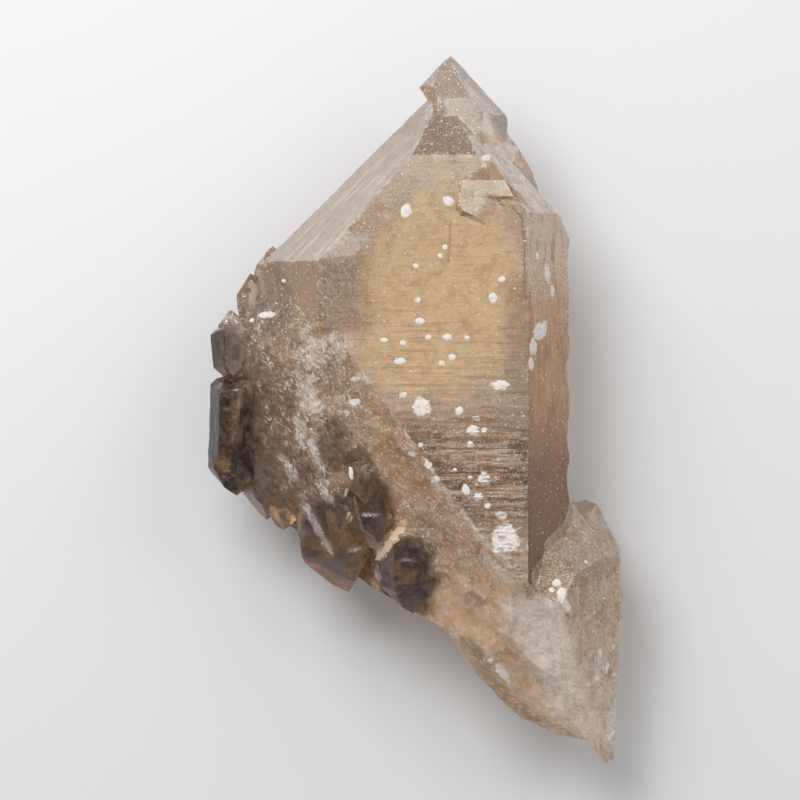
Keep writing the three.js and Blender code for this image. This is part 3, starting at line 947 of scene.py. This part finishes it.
def rise(value, low, high):
    """Nought below low, one above high, and a smooth rise between."""
    made = node("ShaderNodeMapRange", interpolation_type="SMOOTHSTEP")
    link(value, made.inputs["Value"])
    made.inputs["From Min"].default_value = low
    made.inputs["From Max"].default_value = high
    return made.outputs["Result"]


def mixed(share, first, second, blend="MIX"):
    """Two colours, each fixed or another node's result, mixed by a share."""
    made = node("ShaderNodeMix", data_type="RGBA", blend_type=blend)
    link(share, made.inputs[MIX_SHARE])
    for number, value in zip(MIX_COLOURS, (first, second)):
        if isinstance(value, tuple):
            made.inputs[number].default_value = (*value, 1)
        else:
            link(value, made.inputs[number])
    return made.outputs[MIX_RESULT]


where = node("ShaderNodeTexCoord").outputs["Object"]


def speckle(size, stretch=(1, 1, 1), detail=3.0, turn=0.0, swirl=0.0):
    """Noise with lumps of a size in millimetres, drawn out along a line turned from the X axis."""
    turned = node("ShaderNodeMapping")
    turned.inputs["Rotation"].default_value = (0, 0, math.radians(-turn))
    link(where, turned.inputs["Vector"])
    scaled = node("ShaderNodeMapping")
    scaled.inputs["Scale"].default_value = [1 / (size * METRES * s) for s in stretch]
    link(turned.outputs[0], scaled.inputs["Vector"])
    made = node("ShaderNodeTexNoise")
    made.inputs["Scale"].default_value = 1.0
    made.inputs["Detail"].default_value = detail
    made.inputs["Distortion"].default_value = swirl
    link(scaled.outputs[0], made.inputs["Vector"])
    return made.outputs["Fac"]


small = speckle(0.6)
tiny = speckle(0.36, detail=2.0)
large = speckle(2.6, detail=2.0)
grit = speckle(0.7, detail=1.0)
lines = speckle(0.8, stretch=(16, 1, 1), detail=2.0)
threads = speckle(0.4, stretch=(9, 1, 1), detail=2.0)
fibres = speckle(1.0, stretch=(2.2, 1, 2), detail=4.0, turn=-58, swirl=1.8)
ragged = calculate("SUBTRACT", small, 0.5)
grain_share = value_of("grain")
line_share = value_of("bands")


def ragged_share(name, raggedness, low, high):
    """What is painted under a name, as a share with a ragged edge."""
    return rise(calculate("ADD", value_of(name), times(ragged, raggedness)), low, high)


flake_share = ragged_share("flakes", 0.35, -0.05, 0.3)
crust_share = ragged_share("crusts", 1.4, 0.0, 0.4)
# Pale lines along the edges, for wear and painted highlight
edge_line_wear_and_highlight = times(ragged_share("edges", 1.2, 0.75, 1.1), EDGE_STRENGTH)
patches = rise(large, 0.47, 0.68)
dark_lines = times(rise(lines, 0.54, 0.68), line_share)
dark_dots = times(rise(times(small, -1.0), -0.52, -0.34), grain_share)
light_lines = times(rise(threads, 0.56, 0.72), line_share)
white_dots = times(rise(tiny, 0.57, 0.68), grain_share)
fibre_share = times(rise(fibres, 0.45, 0.64), value_of("haze"))
specks = times(rise(grit, 0.69, 0.73), rise(grain_share, 0.12, 0.4))

# Darker marks and then paler ones over the painted colour: where, how strongly and which colour
dark_marks = [(patches, 0.24), (dark_lines, 0.68), (dark_dots, 0.75)]
pale_marks = [
    (light_lines, 0.6, CLOUD),
    (white_dots, 0.85, CLOUD),
    (fibre_share, 1.0, CLOUD),
    (specks, 0.9, FLAKE),
    # Pale edge lines: wear and painted highlight
    (edge_line_wear_and_highlight, 1.0, CLOUD),
]
colour = value_of("tint", "Color")
for share, strength in dark_marks:
    colour = mixed(times(share, strength), colour, SHADE, "MULTIPLY")
for share, strength, pale in pale_marks:
    colour = mixed(times(share, strength), colour, pale)
colour = mixed(crust_share, colour, mixed(rise(small, 0.35, 0.6), DUSK, CRUST))
colour = mixed(flake_share, colour, mixed(rise(small, 0.25, 0.5), GREY_FLAKE, FLAKE))
link(colour, shader.inputs["Base Color"])

# Marks that light doesn't pass: where and how much they hide
hiding_marks = [(fibre_share, 0.6), (edge_line_wear_and_highlight, 1.0), (white_dots, 0.7), (specks, 0.9)]
opaque = calculate("MAXIMUM", flake_share, crust_share)
for share, strength in hiding_marks:
    opaque = calculate("MAXIMUM", opaque, times(share, strength))
clearness = times(value_of("clear"), calculate("SUBTRACT", 1.0, opaque))
link(clearness, shader.inputs["Transmission Weight"])
roughness = calculate("ADD", value_of("gloss"), times(opaque, DULLER))
link(roughness, shader.inputs["Roughness"])
shader.inputs["IOR"].default_value = QUARTZ_IOR

bumps = times(times(small, grain_share), GRAIN_BUMP)
bumps = calculate("ADD", bumps, times(lines, line_share))
bumps = calculate("ADD", bumps, times(flake_share, FLAKE_BUMP))
bump = node("ShaderNodeBump")
bump.inputs["Strength"].default_value = 1.0
bump.inputs["Distance"].default_value = BUMP_HEIGHT * METRES
link(bumps, bump.inputs["Height"])
link(bump.outputs[0], shader.inputs["Normal"])

absorption = node("ShaderNodeVolumeAbsorption")
absorption.inputs["Color"].default_value = (*ABSORPTION_COLOUR, 1)
absorption.inputs["Density"].default_value = ABSORPTION_DENSITY
link(absorption.outputs[0], output.inputs["Volume"])
mesh.materials.append(material)

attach(piece, "root")
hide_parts("citrine_crystal")

# Pale floor, soft light from above and from the tip's side, and a camera looking straight down
scene = bpy.context.scene
scene.view_settings.view_transform = "Standard"
bpy.ops.mesh.primitive_plane_add(size=FLOOR_METRES, location=(0, 0, -FLOOR_GAP_METRES))
floor = bpy.context.object
floor.name = "floor"
paper = bpy.data.materials.new("paper")
paper.use_nodes = True
paper_shader = paper.node_tree.nodes["Principled BSDF"]
paper_shader.inputs["Base Color"].default_value = (*PAPER, 1)
paper_shader.inputs["Roughness"].default_value = PAPER_ROUGHNESS
floor.data.materials.append(paper)

world = bpy.data.worlds.new("studio")
world.use_nodes = True
world.node_tree.nodes["Background"].inputs["Color"].default_value = (1, 1, 1, 1)
world.node_tree.nodes["Background"].inputs["Strength"].default_value = WORLD_STRENGTH
scene.world = world


def softbox(name, place, size, power):
    """A square soft light that looks at the origin: place and size in metres, power in watts."""
    light = bpy.data.lights.new(name, "AREA")
    light.shape = "SQUARE"
    light.size = size
    light.energy = power
    lamp = bpy.data.objects.new(name, light)
    lamp.location = place
    lamp.rotation_mode = "QUATERNION"
    lamp.rotation_quaternion = (-Vector(place)).to_track_quat("-Z", "Y")
    scene.collection.objects.link(lamp)


softbox("key", place=(-0.31, 0.49, 0.62), size=0.5, power=6.0)
softbox("fill", place=(0.7, 0.6, 0.6), size=0.7, power=3.0)

lens = bpy.data.cameras.new("camera")
lens.lens_unit = "FOV"
lens.angle = 2 * math.atan(IMAGE_WIDTH / 2 / (CAMERA_HEIGHT - SHARP_HEIGHT))
camera = bpy.data.objects.new("camera", lens)
camera.location = (
    (CENTRE_PIXEL[0] - ORIGIN_PIXEL[0]) * PIXEL * METRES,
    (ORIGIN_PIXEL[1] - CENTRE_PIXEL[1]) * PIXEL * METRES,
    CAMERA_HEIGHT * METRES,
)
scene.collection.objects.link(camera)
scene.camera = camera
